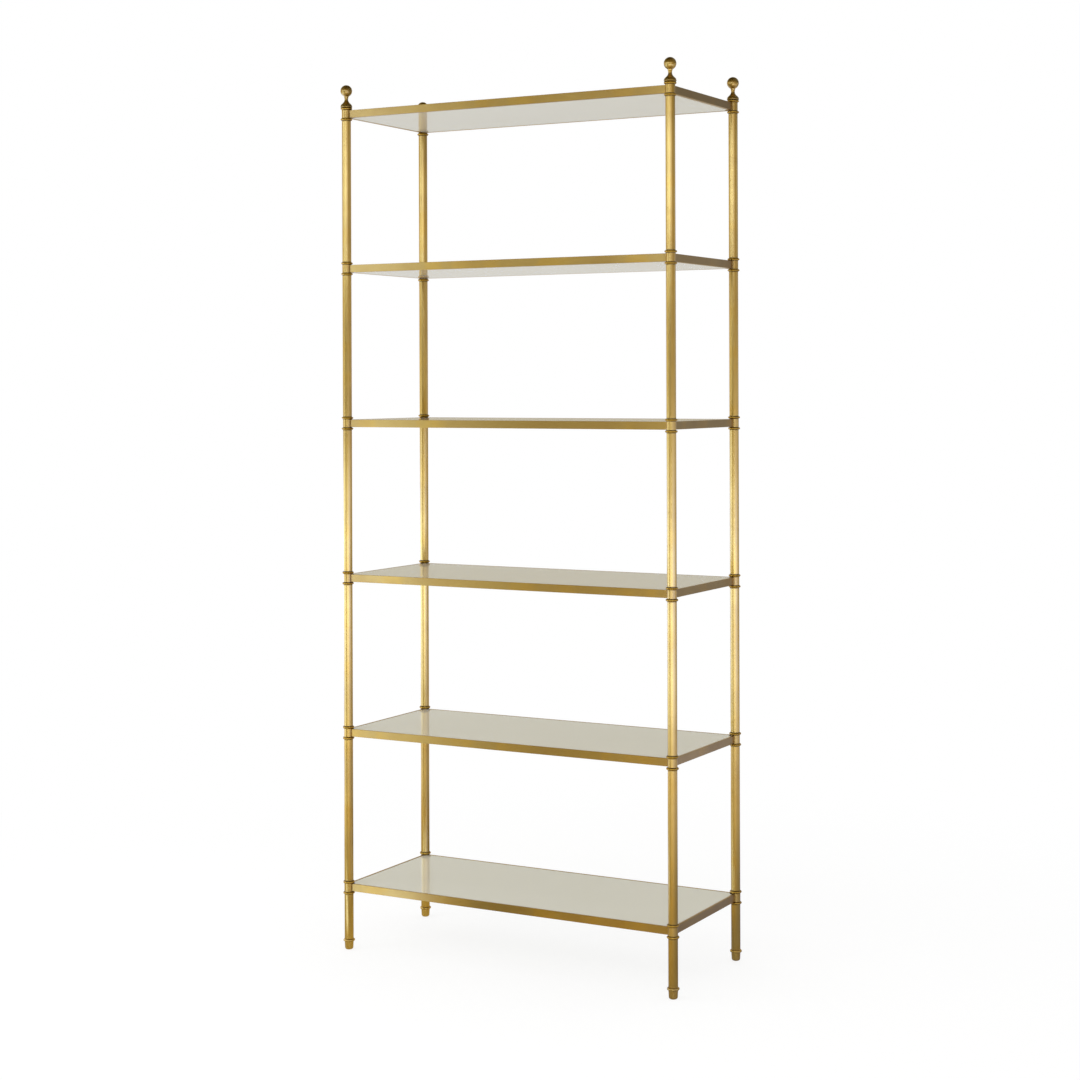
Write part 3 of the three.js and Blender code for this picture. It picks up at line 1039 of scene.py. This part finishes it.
def add_tent():
    """Walls, lamps and floor round the object, as reflections see them."""
    radius, height = TENT_RADIUS / MM, TENT_HEIGHT / MM
    outline = [(0, 0), (radius, 0), (radius, height), (0, height)]
    mesh = spun(outline, TENT_SEGMENTS, use_merge=True)
    finish = Finish("tent")
    x, y, z = finish.axes()
    angle = finish.maths("ARCTAN2", -1 * x, -1 * y) * math.degrees(1)
    distance = finish.maths("SQRT", x * x + y * y)
    round_about = (angle, angle, z, z)
    walls, lamps = WALL_LEVEL, 0
    for level, *edges in WALLS.values():
        walls = window(finish, round_about, edges) * level + walls
    for level, *edges in LAMPS.values():
        lamps = window(finish, round_about, edges) * level + lamps

    level, *edges = FLOOR_GLOW
    inner, full, fading, outer = FLOOR_GLOW_RING
    ring = finish.step(distance, inner, full) * finish.fall(distance, fading, outer)
    glow = window(finish, (angle, angle), edges) * ring * level
    far_floor = finish.step(distance, *FAR_FLOOR_EDGE) * (FAR_FLOOR_LEVEL - NEAR_FLOOR_LEVEL)
    dimmest, dim_angles = DIM_FLOOR
    dimmed = dimmest + finish.step(angle, *dim_angles) * (1 - dimmest)
    upright = finish.step(z, *WALL_FOOT)
    walls = walls * upright + NEAR_FLOOR_LEVEL * dimmed * (1 - upright)
    lamps = lamps * upright + (far_floor * dimmed + glow) * (1 - upright)

    right, left, let_through = GAP
    gap = 1 - window(finish, round_about, (right, left)) * (1 - let_through)
    roof = finish.step(z, *ROOF_FADE)
    above, further = ROOF_LEVELS
    roof_level = above + finish.step(distance, *ROOF_SPREAD) * (further - above)
    level = (walls + lamps) * gap * (1 - roof) + roof * roof_level
    wall_colour = finish.blend(upright, WARM_FLOOR, WARM_WALL)
    colour = finish.blend(finish.step(level, *COOL_LEVELS), wall_colour, COOL_LAMP)
    tint = BEHIND_TINT
    for fade, next_tint in zip(TINT_FADES, (RIGHT_TINT, FRONT_TINT, LEFT_TINT)):
        tint = finish.blend(finish.step(angle, *fade), tint, next_tint)
    colour = finish.blend(1.0, colour, tint, "MULTIPLY")
    front = finish.node("ShaderNodeEmission", {}, {"Color": colour, "Strength": level})
    back, *higher = BACK_COLOURS
    for fade, next_colour in zip(BACK_FADES, higher):
        back = finish.blend(finish.step(z, *fade), back, next_colour)
    back = finish.node("ShaderNodeEmission", {}, {"Color": back, "Strength": 1.0})
    behind = finish.step(abs(angle), *BACK_EDGE) * (1 - roof) * upright
    finish.show(finish.mixed(behind, front, back))
    finish.material.cycles.emission_sampling = "NONE"
    tent = as_object(mesh, "tent", [finish.material])
    tent.matrix_world = Matrix.Rotation(CAMERA_YAW, 4, "Z")
    tent.visible_camera = False
    tent.visible_diffuse = False
    tent.visible_transmission = False
    tent.visible_shadow = False


def facing(angle, distance, height):
    """A place round the object, angle degrees left of the camera as it looks, facing the object."""
    turn = math.radians(angle)
    direction = TO_CAMERA * math.cos(turn) - CAMERA_RIGHT * math.sin(turn)
    place = direction * distance + UP * height
    side = UP.cross(direction)
    return Matrix.Translation(place) @ Matrix((side, UP, direction)).transposed().to_4x4()


def add_softbox(name, angle, distance, height, width, tall, level):
    """Level is its face's brightness, where the white surround is 1. Reflections see the tent instead."""
    data = bpy.data.lights.new(name, "AREA")
    data.shape = "RECTANGLE"
    data.size, data.size_y = width, tall
    data.energy = level * math.pi * width * tall
    light = bpy.data.objects.new(name, data)
    light.matrix_world = facing(angle, distance, height)
    light.visible_camera = False
    light.visible_glossy = False
    bpy.context.scene.collection.objects.link(light)


def add_studio():
    add_surround()
    add_floor()
    add_tent()
    for name, measures in SOFTBOXES.items():
        add_softbox(name, *measures)


add_camera()
add_studio()
bpy.context.scene.view_settings.view_transform = "Standard"
